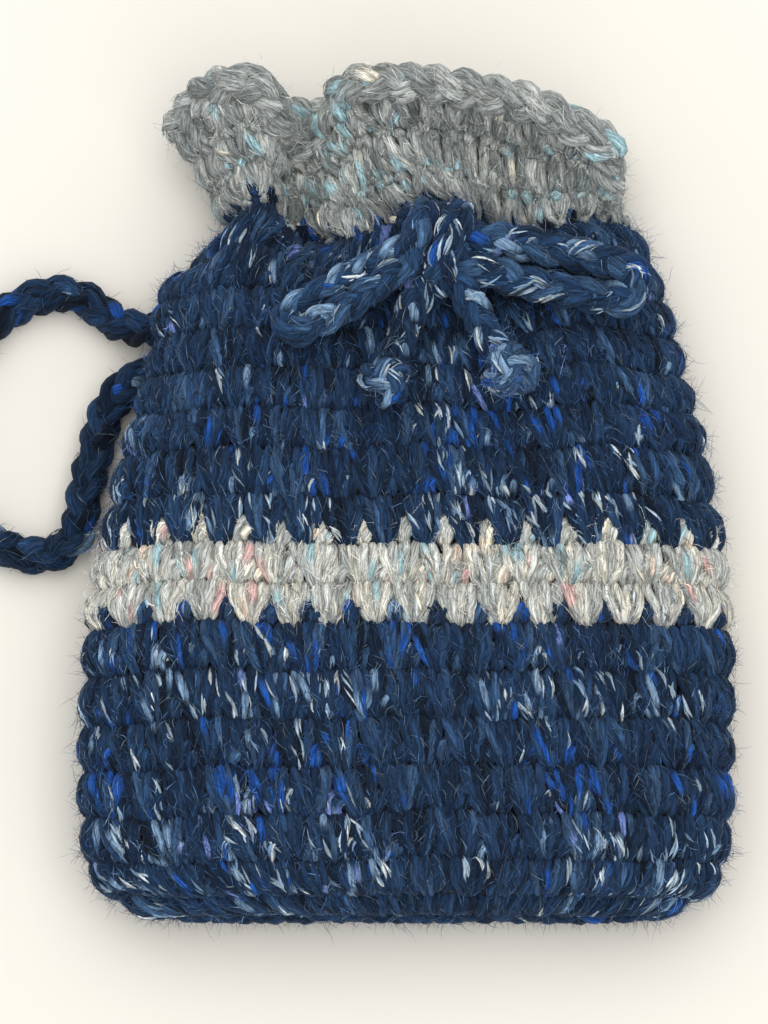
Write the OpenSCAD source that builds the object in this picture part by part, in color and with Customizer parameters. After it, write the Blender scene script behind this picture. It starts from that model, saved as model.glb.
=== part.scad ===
// A crocheted drawstring dice bag that lies on its back, with its mouth towards +Y.
// It is worked in the round from a base seam to a ruffled collar. A cord runs through an
// eyelet round at the neck and is tied in a bow on the front, and a second cord makes a
// pull loop at the left side. Lengths are millimetres and angles are degrees.

/* [Bag] */
// Width of the bag at its widest, near the base
bag_w = 126; // [116:1:134]
// Height of the front of the lying bag above the table
bag_t = 25; // [23:0.5:26]
// Thickness of the crocheted wall
wall = 5.5; // [4.5:0.1:6]
// Height of the collar's rim above the table
rim_t = 34; // [30:1:38]

/* [Rounds] */
// Where the grey stripe starts, along the bag
stripe_y = -23; // [-26:1:-20]
// Height of one round of crochet
round_h = 7.75; // [7:0.05:8]
// Length of the base seam, where the bag is closed
seam_h = 7; // [6:0.5:8]

/* [Drawstring] */
// Diameter of the bow's cord
cord_d = 7.4; // [6:0.1:8]
// Diameter of the cord where the eyelet round squeezes it
run_d = 4.6; // [4:0.1:5]
// Stitches over the cord on each half of the eyelet round
post_count = 10; // [6:2:12]

/* [Hidden] */

NAVY = "#1c2c50";
ROYAL = "#24427c";
GREY = "#b5b9b4";
PALE = "#c6cac4";

squareness = 3.2;            // 2 is an ellipse, more is boxier
arc_steps = 48;              // facets round a full section
below = 1;                   // how far a section would sink without the table
half_w = bag_w / 2;
half_length = 81;            // the origin is halfway between the seam and the rim
end_y = -half_length;
body_y = end_y + seam_h;
stripe_end = stripe_y + 2 * round_h;
hinge_y = stripe_end + 2 * round_h;  // the front above this line lifts to open the mouth
eyelet_y = stripe_end + 7 * round_h;
neck_y = eyelet_y + round_h;
collar_y = neck_y + 5;
rim_y = half_length - 4;
split_z = 12;                // the front and back halves part at this height
clear = 0.5;                 // between pieces that move past each other

// A section is [y, half width, sideways lean, underside, front].
seam_sections = [
    [end_y, 0.80 * half_w, 0, 5, bag_t - 8],
    [end_y + 1.5, 0.90 * half_w, 0, 2, bag_t - 4.5],
    [end_y + 4, 0.96 * half_w, 0, 0.4, bag_t - 2],
    [body_y, half_w, 0, -below, bag_t]
];
stripe_sections = [
    [stripe_y, 0.985 * half_w, 0.5, -below, bag_t],
    [stripe_end, 0.955 * half_w, 1, -below, bag_t]
];
upper_sections = [
    [stripe_end, 0.955 * half_w, 1, -below, bag_t],
    [hinge_y, 0.9 * half_w, 1.3, -below, bag_t]
];
shoulder_sections = [
    [hinge_y, 0.9 * half_w, 1.3, -below, bag_t],
    [26, 0.835 * half_w, 2, -below, bag_t],
    [38, 0.77 * half_w, 2.5, -0.5, bag_t - 1],
    [eyelet_y, 0.68 * half_w, 4, 1.6, bag_t - 3]
];
neck_sections = [
    [neck_y, 0.63 * half_w, 5, 2.4, bag_t - 4.5],
    [collar_y, 0.61 * half_w, 4.5, 2.4, bag_t - 4.5]
];
collar_sections = [
    [collar_y, 0.61 * half_w, 4.5, 2.4, bag_t - 4.5],
    [67, 0.68 * half_w, 1, 0.5, 0.8 * rim_t],
    [rim_y, 0.715 * half_w, -1, -below, rim_t - 1]
];
rim_sections = [
    [rim_y, 0.725 * half_w, -1, -below, rim_t],
    [half_length, 0.725 * half_w, -1, -below, rim_t]
];
lower_section = [0, half_w, 0, -below, bag_t];
eyelet_section = [(eyelet_y + neck_y) / 2, 0.655 * half_w, 4.5, 2, bag_t - 3.75];

// The bow turns about its knot, and everything on it lies on the front.
knot = [4.5, 45.5];
knot_r = 8;
knot_h = 9.5;
knot_sink = 1.5;             // the knot presses into the hollow of the neck
bow_z = bag_t + clear;       // underside of the loops and tails
lead_x = 4;                  // each lead's distance from the knot's middle
lead_depth = 8;              // how far a lead reaches below the knot
run_end = 4;                 // degrees between a front run's end and the front's middle
left_loop = [210.5, 34.5, 10];   // direction, reach from the knot's middle, width
right_loop = [-11.5, 43.5, 14];
left_tail = [252, 27.4, 5.4];  // direction, distance of the end knot, its radius
right_tail = [-58.3, 28.9, 5.8];
tail_gap = 3;              // from the knot to each tail, which leaves the tails room to swing

// The side cord's route on the table, from one exit in the bag's left side to the other.
side_d = 7.2;
side_z = side_d / 2 + 0.05;
side_route = [
    [-45, 33.3, 7.5], [-50, 33.8, 7], [-55, 35, 5], [-59, 37.8, side_z], [-63, 40.6, side_z],
    [-67.5, 41.5, side_z], [-72.5, 40.5, side_z], [-78, 37.3, side_z], [-83.5, 31.8, side_z],
    [-87.5, 24.8, side_z], [-89.5, 16.8, side_z], [-89.5, 8.8, side_z], [-87.3, 1.3, side_z],
    [-83, -4.7, side_z], [-77.5, -8.5, side_z], [-71.5, -9.9, side_z], [-66, -8.7, side_z],
    [-63, -4.7, side_z], [-62.2, 0.8, side_z], [-61, 6.3, side_z], [-59.7, 11.8, side_z],
    [-58.4, 16.8, side_z], [-55.8, 21.3, 4.2], [-52, 24.3, 5.8], [-47, 25.8, 7.5]
];

function signed_power(v, p) = sign(v) * pow(abs(v), p);

// A point on a section at angle t: 0 is the right edge, 90 the front and 270 the back.
function section_point(s, t, inset) =
    let (middle = (s[3] + s[4]) / 2, half_t = (s[4] - s[3]) / 2 - inset)
    [
        s[2] + (s[1] - inset) * signed_power(cos(t), 2 / squareness),
        s[0],
        max(inset, middle + half_t * signed_power(sin(t), 2 / squareness))
    ];

function section_points(s, inset, from, to, steps) =
    [for (i = [0 : steps]) section_point(s, from + (to - from) * i / steps, inset)];

module section_outline(s, inset) {
    polygon([for (p = section_points(s, inset, 0, 360 - 360 / arc_steps, arc_steps - 1)) [p[0], p[2]]]);
}

function flatten_once(list) = [for (part = list) each part];

// A solid lofted through whole sections.
module loft(sections, inset) {
    points = flatten_once([for (s = sections)
        section_points(s, inset, 0, 360 - 360 / arc_steps, arc_steps - 1)]);
    last = (len(sections) - 1) * arc_steps;
    polyhedron(points, concat(
        [[for (i = [arc_steps - 1 : -1 : 0]) i]],
        [for (j = [0 : len(sections) - 2], i = [0 : arc_steps - 1])
            let (a = j * arc_steps + i, b = j * arc_steps + (i + 1) % arc_steps)
            [a, b, b + arc_steps, a + arc_steps]],
        [[for (i = [0 : arc_steps - 1]) last + i]]), convexity = 4);
}

// A whole tube of wall, lofted through sections.
module tube_shell(sections) {
    first = sections[0];
    final = sections[len(sections) - 1];
    past = [0.1, 0, 0, 0, 0];
    difference() {
        loft(sections, 0);
        loft(concat([first - past], sections, [final + past]), wall);
    }
}

// The front or the back half of a tube of wall.
module half_shell(sections, low_z) {
    size = 4 * half_w;
    intersection() {
        tube_shell(sections);
        translate([-size / 2, -size / 2, low_z]) cube(size);
    }
}

module front_shell(sections) {
    half_shell(sections, split_z + clear / 2);
}

module back_shell(sections) {
    half_shell(sections, split_z - clear / 2 - 4 * half_w);
}

function unit(v) = v / norm(v);

// A tube of one radius along a route. Its rings face along the route.
module sweep(route, radius, sides, up) {
    n = len(route);
    points = flatten_once([for (i = [0 : n - 1])
        let (
            ahead = unit(route[min(i + 1, n - 1)] - route[max(i - 1, 0)]),
            side = unit(cross(ahead, up)),
            over = cross(side, ahead)
        )
        [for (k = [0 : sides - 1])
            route[i] + radius * (cos(360 * k / sides) * side + sin(360 * k / sides) * over)]]);
    polyhedron(points, concat(
        [[for (k = [sides - 1 : -1 : 0]) k]],
        [for (i = [0 : n - 2], k = [0 : sides - 1])
            let (a = i * sides + k, b = i * sides + (k + 1) % sides)
            [a, b, b + sides, a + sides]],
        [[for (k = [0 : sides - 1]) (n - 1) * sides + k]]), convexity = 6);
}

// The cord inside the eyelet round, between two angles.
module eyelet_run(from, to) {
    steps = ceil(abs(to - from) / 7);
    sweep(section_points(eyelet_section, wall / 2, from, to, steps), run_d / 2, 8, [0, 1, 0]);
}

// Stitches that cross the cord, in turn outside it and inside it.
module eyelet_posts(from, to, count) {
    post_w = 3;
    post_t = (wall - run_d) / 2 + 0.5;
    outwards = run_d / 2 + post_t / 2 + 0.1;
    for (i = [0 : count - 1]) {
        t = from + (to - from) * (i + 0.5) / count;
        here = section_point(eyelet_section, t, wall / 2);
        next = section_point(eyelet_section, t + 1, wall / 2);
        turn = atan2(next[2] - here[2], next[0] - here[0]);
        translate(here)
            rotate([0, -turn, 0])
                translate([0, 0, i % 2 == 0 ? -outwards : outwards])
                    cube([post_w, neck_y - eyelet_y, post_t], center = true);
    }
}

module base_seam() {
    color(NAVY) loft(seam_sections, 0);
}

// The lower tube has straight sides, so the face that it rests on is truly flat.
module lower_body() {
    color(ROYAL)
        translate([0, stripe_y, 0])
            rotate([90, 0, 0])
                linear_extrude(stripe_y - body_y)
                    difference() {
                        section_outline(lower_section, 0);
                        section_outline(lower_section, wall);
                    }
}

module stripe_band() {
    color(PALE) tube_shell(stripe_sections);
}

module upper_body() {
    color(NAVY) tube_shell(upper_sections);
}

module shoulder_back() {
    color(NAVY) back_shell(shoulder_sections);
}

module shoulder_front() {
    cut = [for (s = shoulder_sections) s[0] == hinge_y ? s + [clear, 0, 0, 0, 0] : s];
    color(NAVY) front_shell(cut);
}

module eyelet_posts_back() {
    color(ROYAL) eyelet_posts(200, 340, post_count);
}

// The front has its posts on both sides of the bow's leads.
module eyelet_posts_front() {
    color(ROYAL) {
        eyelet_posts(20, 80, post_count / 2);
        eyelet_posts(100, 160, post_count / 2);
    }
}

module neck_round_back() {
    color(GREY) back_shell(neck_sections);
}

module neck_round_front() {
    color(GREY) front_shell(neck_sections);
}

module collar_back() {
    color(GREY) back_shell(collar_sections);
}

module collar_front() {
    color(GREY) front_shell(collar_sections);
}

module rim_chain_back() {
    color(PALE) back_shell(rim_sections);
}

module rim_chain_front() {
    color(PALE) front_shell(rim_sections);
}

module drawstring_back_run() {
    color(ROYAL) eyelet_run(183, 357);
}

module drawstring_front_right() {
    color(ROYAL) eyelet_run(3, 90 - run_end);
}

module drawstring_front_left() {
    color(ROYAL) eyelet_run(90 + run_end, 177);
}

// Two straight ends of the cord that come out through the front to the knot.
module bow_leads() {
    color(ROYAL)
        for (side = [-1, 1])
            translate([knot[0] + side * lead_x, eyelet_section[0], bow_z - knot_sink - lead_depth])
                cylinder(d = run_d, h = lead_depth, $fn = 32);
}

module bow_knot() {
    color(NAVY)
        translate([knot[0], knot[1], bow_z - knot_sink])
            rotate_extrude($fn = 48)
                polygon([
                    [0, 0], [knot_r - 2.5, 0], [knot_r - 0.8, 1], [knot_r, 3.5],
                    [knot_r, knot_h - 4], [knot_r - 1.2, knot_h - 1.6], [knot_r - 3.5, knot_h], [0, knot_h]
                ]);
}

// A flattened double strand from near the knot to its rounded tip.
module bow_loop(loop) {
    near = knot_r + cord_d / 2 + 1.5;
    reach = loop[1];
    width = loop[2];
    tip = reach - width / 2;
    translate([knot[0], knot[1], bow_z])
        rotate([0, 0, loop[0]])
            hull() {
                translate([near, 0, 0.6]) cylinder(d = cord_d - 0.6, h = cord_d - 1.2, $fn = 32);
                translate([(near + reach) / 2, 0, 0]) cylinder(d = width - 1.5, h = cord_d, $fn = 32);
                translate([tip, 0, 1]) cylinder(d = width, h = cord_d - 2, $fn = 32);
                translate([tip, 0, 0]) cylinder(d = width - 3, h = cord_d, $fn = 32);
            }
}

module bow_loop_left() {
    color(NAVY) bow_loop(left_loop);
}

module bow_loop_right() {
    color(NAVY) bow_loop(right_loop);
}

// A straight end of the cord, from beside the knot into its end knot.
module tail(end) {
    start = knot_r + tail_gap;
    translate([knot[0], knot[1], bow_z + cord_d / 2])
        rotate([0, 0, end[0]])
            translate([start, 0, 0])
                rotate([0, 90, 0])
                    cylinder(d = cord_d - 0.4, h = end[1] - end[2] / 2 - start, $fn = 32);
}

// A round knot with a flat seat for the end of its cord.
module tail_knot(end) {
    translate([knot[0], knot[1], bow_z + end[2]])
        rotate([0, 0, end[0]])
            translate([end[1], 0, 0])
                rotate([0, 90, 0])
                    rotate_extrude($fn = 48)
                        polygon(end[2] * concat(
                            [[0, -0.5]],
                            [for (a = [-30 : 10 : 80]) [cos(a), sin(a)]],
                            [[0, 1]]));
}

module tail_left() {
    color(ROYAL) tail(left_tail);
}

module tail_knot_left() {
    color(NAVY) tail_knot(left_tail);
}

module tail_right() {
    color(ROYAL) tail(right_tail);
}

module tail_knot_right() {
    color(ROYAL) tail_knot(right_tail);
}

module side_cord() {
    color(NAVY) sweep(side_route, side_d / 2, 10, [0, 0, 1]);
}

base_seam();
lower_body();
stripe_band();
upper_body();
shoulder_back();
shoulder_front();
eyelet_posts_back();
eyelet_posts_front();
neck_round_back();
neck_round_front();
collar_back();
collar_front();
rim_chain_back();
rim_chain_front();
drawstring_back_run();
drawstring_front_right();
drawstring_front_left();
bow_leads();
bow_knot();
bow_loop_left();
bow_loop_right();
tail_left();
tail_knot_left();
tail_right();
tail_knot_right();
side_cord();
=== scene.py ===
"""A crocheted drawstring dice bag, stitch by stitch: every round is made of yarn strands
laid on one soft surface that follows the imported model. Lengths are in millimetres until
a mesh is made. A place on the bag's surface is (round, turn): round counts up from the
base seam to the rim, and turn runs once about the bag, from its right edge over the front."""
import math

import bpy
import numpy as np
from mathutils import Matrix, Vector


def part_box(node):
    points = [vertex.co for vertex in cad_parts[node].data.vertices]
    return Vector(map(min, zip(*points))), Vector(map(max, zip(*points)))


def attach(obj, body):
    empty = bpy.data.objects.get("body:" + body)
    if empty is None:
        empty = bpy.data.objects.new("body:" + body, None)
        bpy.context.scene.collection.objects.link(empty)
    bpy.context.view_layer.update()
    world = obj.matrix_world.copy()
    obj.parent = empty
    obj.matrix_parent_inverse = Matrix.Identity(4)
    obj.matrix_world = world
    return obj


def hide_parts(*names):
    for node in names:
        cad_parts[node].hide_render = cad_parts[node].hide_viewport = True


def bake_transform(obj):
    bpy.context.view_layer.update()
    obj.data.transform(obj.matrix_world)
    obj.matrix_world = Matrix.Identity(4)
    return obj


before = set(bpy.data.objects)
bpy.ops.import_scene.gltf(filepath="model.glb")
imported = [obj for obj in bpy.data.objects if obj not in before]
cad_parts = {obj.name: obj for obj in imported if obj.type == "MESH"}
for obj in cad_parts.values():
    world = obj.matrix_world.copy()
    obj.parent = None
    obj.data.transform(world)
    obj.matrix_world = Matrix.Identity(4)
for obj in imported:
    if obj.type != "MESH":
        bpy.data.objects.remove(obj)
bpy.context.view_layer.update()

MM = 0.001
WALL = 5.5                    # thickness of the crochet
STITCHES = 34                 # in every round
PER_STITCH = 20               # surface samples across a stitch
PER_ROUND = 10                # and up a round
SQUARENESS = 3.2              # of a round's cross-section: 2 is an ellipse
FLOOR_GAP = 0.12              # the lowest yarn stays this far above the table
ROW_SHIFT = 0.41              # stitches that each round is turned past the one below
FREE_STITCH = 8.3             # width of a stitch that nothing crowds
NAVY_TWIST, GREY_TWIST, CORD_TWIST = -22.0, -38.0, -24.0      # length of one turn of the plies
BODY_FUZZ, BOW_FUZZ, KNOT_FUZZ, RIM_FUZZ, CORD_FUZZ = 0.7, 0.9, 1.4, 1.2, 0.6   # hairs per mm of ply
DETAIL = 1.0


# ---------------- sizes from the frame

def box_mm(node):
    low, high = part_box(node)
    return np.array(low) / MM, np.array(high) / MM


LOW, HIGH = box_mm("lower_body")
HALF = (HIGH[0] - LOW[0]) / 2
FRONT = HIGH[2]
BASE_Y = box_mm("base_seam")[0][1]
STRIPE_Y = HIGH[1]
STRIPE_END = box_mm("stripe_band")[1][1]
HINGE_Y = box_mm("upper_body")[1][1]
NECK_Y = box_mm("neck_round_back")[0][1]
ROUND = (HINGE_Y - STRIPE_END) / 2
KNOT_LOW, KNOT_HIGH = box_mm("bow_knot")
KNOT = (KNOT_LOW + KNOT_HIGH) / 2

# Rounds, counted from the base seam
BASE, LOWER, STRIPE, UPPER, SHOULDER, EYELETS, COLLAR, RIM = 0, 2, 7, 9, 11, 16, 17, 20


# ---------------- camera, light and table

def look_at(thing, target):
    away = Vector(target) - thing.location
    thing.rotation_euler = away.to_track_quat("-Z", "Y").to_euler()


def make_camera():
    target = Vector((-4.2, -3.0, 12.0)) * MM
    elevation = math.radians(80)
    distance = 1.0
    data = bpy.data.cameras.new("camera")
    data.lens = 184
    camera = bpy.data.objects.new("camera", data)
    bpy.context.collection.objects.link(camera)
    camera.location = target + distance * Vector((0, -math.cos(elevation), math.sin(elevation)))
    look_at(camera, target)
    bpy.context.scene.camera = camera


def area_light(name, place, size, power, colour):
    data = bpy.data.lights.new(name, "AREA")
    data.size = size
    data.energy = power
    data.color = colour
    light = bpy.data.objects.new(name, data)
    bpy.context.collection.objects.link(light)
    light.location = place
    look_at(light, (0, 0, 0))


def make_studio():
    area_light("window", (-0.05, 0.30, 1.0), 1.3, 7.4, (1.0, 0.985, 0.96))
    area_light("fill", (0.4, -0.6, 1.0), 1.2, 3.9, (1.0, 0.98, 0.95))
    world = bpy.data.worlds.new("studio")
    world.use_nodes = True
    background = world.node_tree.nodes["Background"]
    background.inputs["Color"].default_value = (0.97, 0.98, 1.0, 1)
    background.inputs["Strength"].default_value = 0.66
    bpy.context.scene.world = world
    bpy.context.scene.view_settings.view_transform = "Standard"
    size = 1.6
    mesh = bpy.data.meshes.new("table")
    corners = [(x * size, y * size, -0.0002) for x, y in ((-1, -1), (1, -1), (1, 1), (-1, 1))]
    mesh.from_pydata(corners, [], [(0, 1, 2, 3)])
    table = bpy.data.objects.new("table", mesh)
    bpy.context.collection.objects.link(table)
    material = bpy.data.materials.new("pale_table")
    material.use_nodes = True
    shader = material.node_tree.nodes["Principled BSDF"]
    shader.inputs["Base Color"].default_value = (0.835, 0.80, 0.73, 1)
    shader.inputs["Roughness"].default_value = 0.75
    mesh.materials.append(material)


# ---------------- small numeric helpers

def unit(vectors):
    return vectors / np.maximum(np.linalg.norm(vectors, axis=-1, keepdims=True), 1e-9)


def ease(t):
    t = np.clip(t, 0, 1)
    return t * t * (3 - 2 * t)


def along(points, closed=False):
    """Distance along a polyline, one value a point and, if closed, one more for the return."""
    ring = np.vstack([points, points[:1]]) if closed else points
    steps = np.linalg.norm(np.diff(ring, axis=0), axis=1)
    return np.concatenate([[0], np.cumsum(steps)])


def travelled(paths):
    """Distance along each of many paths (strand, point, 3)."""
    steps = np.linalg.norm(np.diff(paths, axis=1), axis=2)
    return np.concatenate([np.zeros((len(paths), 1)), np.cumsum(steps, axis=1)], axis=1)


def resample(points, count, closed=False):
    """Evenly spaced points on a polyline."""
    ring = np.vstack([points, points[:1]]) if closed else points
    distance = along(points, closed)
    wanted = np.linspace(0, distance[-1], count, endpoint=not closed)
    return np.stack([np.interp(wanted, distance, ring[:, k]) for k in range(3)], axis=1)


def catmull(points, per_span=12):
    """A smooth open curve through the points."""
    p = np.asarray(points, float)
    n = len(p)
    out = []
    for i in range(n - 1):
        a, b, c, d = (p[min(max(i + k, 0), n - 1)] for k in (-1, 0, 1, 2))
        for t in np.arange(per_span) / per_span:
            out.append(0.5 * (2 * b + (c - a) * t + (2 * a - 5 * b + 4 * c - d) * t ** 2
                              + (3 * b - a - 3 * c + d) * t ** 3))
    out.append(p[-1])
    return np.array(out)


def axes_along(paths, normals, closed=False):
    """Unit vectors along paths (..., point, 3), to their sides and over them."""
    if closed:
        tangent = unit(np.roll(paths, -1, axis=-2) - np.roll(paths, 1, axis=-2))
    else:
        tangent = unit(np.gradient(paths, axis=-2))
    side = unit(np.cross(tangent, normals))
    return tangent, side, np.cross(side, tangent)


def waves(seed, terms, reach):
    """A smooth random field over (round, turn) that joins up round the bag, about -1 to 1."""
    pick = np.random.default_rng(seed)
    turns = pick.integers(-reach, reach + 1, terms)
    rounds = pick.uniform(-0.9, 0.9, terms)
    phases = pick.uniform(0, 2 * np.pi, terms)

    def field(round_at, turn):
        total = sum(np.sin(2 * np.pi * k * turn + r * round_at + p)
                    for k, r, p in zip(turns, rounds, phases))
        return total / math.sqrt(terms)
    return field


# ---------------- the bag's surface

# round, y, half width as a part of the widest, sideways lean, underside, front, pleat depth
STATIONS = np.array([
    (0, BASE_Y, 0.73, 0, 9.0, FRONT - 12.0, 0),
    (0.5, BASE_Y + 0.4, 0.79, 0, 5.2, FRONT - 8.0, 0),
    (1, BASE_Y + 2.2, 0.87, 0, 2.0, FRONT - 4.2, 0),
    (1.5, BASE_Y + 6.0, 0.93, 0, 0.2, FRONT - 1.4, 0),
    (2, BASE_Y + 9.6, 0.963, 0, -0.3, FRONT - 0.2, 0),
    (3, BASE_Y + 18.7, 0.982, 0, -0.5, FRONT, 0),
    (5, BASE_Y + 36.9, 0.985, 0, -0.5, FRONT, 0),
    (STRIPE, STRIPE_Y - 2.6, 0.98, 0.5, -0.5, FRONT, 0),
    (UPPER, STRIPE_END - 3.4, 0.955, 1.0, -0.5, FRONT, 0),
    (SHOULDER, HINGE_Y, 0.895, 1.3, -0.5, FRONT, 0.1),
    (13.3, HINGE_Y + 2.3 * ROUND, 0.82, 1.6, -0.5, FRONT, 0.5),
    (15, HINGE_Y + 4 * ROUND, 0.76, 1.8, -0.3, FRONT - 1, 1.0),
    (EYELETS, NECK_Y - ROUND, 0.695, 3.2, 1.0, FRONT - 2.6, 1.5),
    (16.7, NECK_Y - 2.4, 0.63, 4.4, 2.0, FRONT - 4.6, 1.9),
    (COLLAR, NECK_Y, 0.605, 4.2, 2.2, FRONT - 4.8, 1.9),
    (RIM + 1, NECK_Y + 4 * ROUND, 0.59, 3.6, 2.2, FRONT - 4.8, 1.9),
])
PLEATS = 9
# The rim's line: over the front from right to left, then back along the table.
RIM_FRONT = [
    (41, 60, 13), (39.5, 63, 24), (32, 65.8, 31), (22, 69.8, 33), (8, 73.2, 33), (-3, 75, 31),
    (-12, 74.5, 28), (-18.5, 70, 13), (-25, 74.5, 25), (-33, 76, 28), (-41, 75, 22), (-45.5, 70, 13),
]
RIM_BACK = [
    (-45.5, 70, 13), (-42, 73.5, 5), (-30, 76, 2.5), (-14, 75.5, 5.5), (2, 75.5, 2.5), (18, 74, 5.5),
    (32, 73, 3), (40, 68, 5.5), (41, 60, 13),
]
sag = waves(3, 14, 5)
drift = waves(11, 16, 9)


def section_loop(y, half, lean, low, high, pleat, columns):
    t = np.linspace(0, 2 * np.pi, 3000, endpoint=False)
    power = 2 / SQUARENESS
    x = lean + half * HALF * np.sign(np.cos(t)) * np.abs(np.cos(t)) ** power
    z = (low + high) / 2 + (high - low) / 2 * np.sign(np.sin(t)) * np.abs(np.sin(t)) ** power
    loop = resample(np.stack([x, np.full_like(x, y), z], axis=1), columns, closed=True)
    ahead = unit(np.roll(loop, -1, axis=0) - np.roll(loop, 1, axis=0))
    outward = np.stack([ahead[:, 2], np.zeros(columns), -ahead[:, 0]], axis=1)
    turn = np.arange(columns) / columns
    return loop + (pleat * np.cos(2 * np.pi * (PLEATS * turn + 0.12)))[:, None] * outward


def smooth_rows(values, width):
    kernel = np.bartlett(2 * width + 1)
    kernel /= kernel.sum()
    padded = np.concatenate([np.repeat(values[:1], width, 0), values, np.repeat(values[-1:], width, 0)])
    return np.stack([np.convolve(padded[:, k], kernel, "valid") for k in range(values.shape[1])], axis=1)


class Surface:
    """The outside of the bag as a fine grid, read at any (round, turn)."""

    def __init__(self):
        self.columns = STITCHES * PER_STITCH
        self.rows = RIM * PER_ROUND + 1
        where = np.arange(self.rows) / PER_ROUND
        stations = np.stack([np.interp(where, STATIONS[:, 0], STATIONS[:, k]) for k in range(1, 7)], axis=1)
        stations = np.concatenate([stations[:1], smooth_rows(stations, PER_ROUND // 2)[1:]])
        grid = np.stack([section_loop(*row, self.columns) for row in stations])
        half = self.columns // 2
        rim = np.concatenate([
            resample(catmull(RIM_FRONT), half + 1)[:-1],
            resample(catmull(RIM_BACK), half + 1)[:-1],
        ])
        flare = np.clip((where - COLLAR + 0.2) / (RIM - COLLAR + 0.2), 0, 1)
        sideways = (flare ** 0.85)[:, None]
        upward = (flare ** 1.7)[:, None]
        collar = grid.copy()
        collar[..., 0] = grid[..., 0] * (1 - sideways) + rim[None, :, 0] * sideways
        collar[..., 2] = grid[..., 2] * (1 - upward) + rim[None, :, 2] * upward
        base_y = NECK_Y - 0.2 * ROUND
        lean = base_y + (rim[None, :, 1] - base_y) * (flare ** 0.95)[:, None]
        grid = np.where((flare > 0)[:, None, None], collar, grid)
        grid[..., 1] = np.where((flare > 0)[:, None], lean, grid[..., 1])
        round_at = where[:, None]
        turn = (np.arange(self.columns) / self.columns)[None, :]
        scallop = np.cos(2 * np.pi * (grid[..., 0] - 6) / 35) * (1 + 0.6 * ease(-grid[..., 0] / 15 - 0.5))
        near_neck = np.exp(-((round_at - COLLAR) / 1.7) ** 2) * np.clip(3 * np.sin(2 * np.pi * turn), 0, 1)
        grid[..., 1] += (2.8 * scallop - 1.6) * near_neck
        crease = np.exp(-((grid[..., 0] + 19.5) / 4.0) ** 2) * ease((round_at - 15.6) / 1.6)
        crease *= ease((RIM + 0.4 - round_at) / 2.2) * np.clip(4 * np.sin(2 * np.pi * turn), 0, 1)
        grid[..., 2] -= 9.0 * crease
        recess = np.exp(-((round_at - 18.8) / 0.75) ** 2) * np.exp(-((grid[..., 0] - 14) / 15) ** 2)
        grid[..., 2] -= 4.0 * recess * np.clip(4 * np.sin(2 * np.pi * turn), 0, 1)
        bulge = np.exp(-((round_at - 15.4) / 1.2) ** 2) * np.exp(-((turn - 0.5) / 0.09) ** 2)
        grid[..., 0] -= 3.6 * bulge
        up = np.clip((grid[..., 2] - 6) / 10, 0, 1)
        grid[..., 2] += 0.7 * sag(round_at * 0.6, turn) * up
        grid[..., 1] += 0.5 * drift(round_at, turn) * ease(round_at / 2)
        self.grid = grid
        self.refresh()

    def refresh(self):
        across = np.roll(self.grid, -1, axis=1) - np.roll(self.grid, 1, axis=1)
        up = np.gradient(self.grid, axis=0)
        normals = unit(np.cross(up, across))
        for _ in range(3):
            normals = normals + np.roll(normals, 1, axis=1) + np.roll(normals, -1, axis=1)
            normals = unit(normals)
        self.normals = normals
        self.pitch = np.linalg.norm(across, axis=2) / 2 * PER_STITCH

    def read(self, round_at, turn):
        """Point, outward normal and stitch width there."""
        r = np.clip(np.asarray(round_at) * PER_ROUND, 0, self.rows - 1.001)
        c = (np.asarray(turn) % 1.0) * self.columns
        r0, c0 = np.floor(r).astype(int), np.floor(c).astype(int) % self.columns
        fr, fc = (r - np.floor(r)), (c - np.floor(c))
        c1 = (c0 + 1) % self.columns

        def mix(values):
            shape = fr.shape + (1,) * (values.ndim - 2)
            f, g = fr.reshape(shape), fc.reshape(shape)
            top = values[r0 + 1, c0] * (1 - g) + values[r0 + 1, c1] * g
            return (values[r0, c0] * (1 - g) + values[r0, c1] * g) * (1 - f) + top * f
        return mix(self.grid), unit(mix(self.normals)), mix(self.pitch)

    def place(self, round_at, turn, out):
        """Points at a height out above the surface, past the rim too."""
        point, normal, pitch = self.read(round_at, turn)
        past = np.maximum(np.asarray(round_at) - RIM, 0) * ROUND
        edge, _, _ = self.read(np.full_like(round_at, RIM), turn)
        inner, _, _ = self.read(np.full_like(round_at, RIM - 0.5), turn)
        point = point + unit(edge - inner) * past[..., None]
        return point + normal * np.asarray(out)[..., None], normal, pitch


# ---------------- yarn

def srgb(text):
    values = [int(text[i:i + 2], 16) / 255 for i in (0, 2, 4)]
    return [v / 12.92 if v <= 0.04045 else ((v + 0.055) / 1.055) ** 2.4 for v in values]


INK, NAVY, SLATE, DENIM = srgb("0b1827"), srgb("162b46"), srgb("254061"), srgb("426184")
ROYAL, PERIWINKLE = srgb("1c4c98"), srgb("7488c8")
MIST, PALE, FROST = srgb("7390ad"), srgb("9bafbe"), srgb("c3cbcd")
# PEWTER, the darkest grey, is used only as the collar's painted shade
PEWTER, ASH, DOVE = srgb("7b8180"), srgb("8b9190"), srgb("aeb2af")
SILVER, CREAM = srgb("c8c9c2"), srgb("e2dccb")
AQUA, PINK, PEACH = srgb("9dbfc6"), srgb("d6b0ac"), srgb("dcc9b8")


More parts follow.
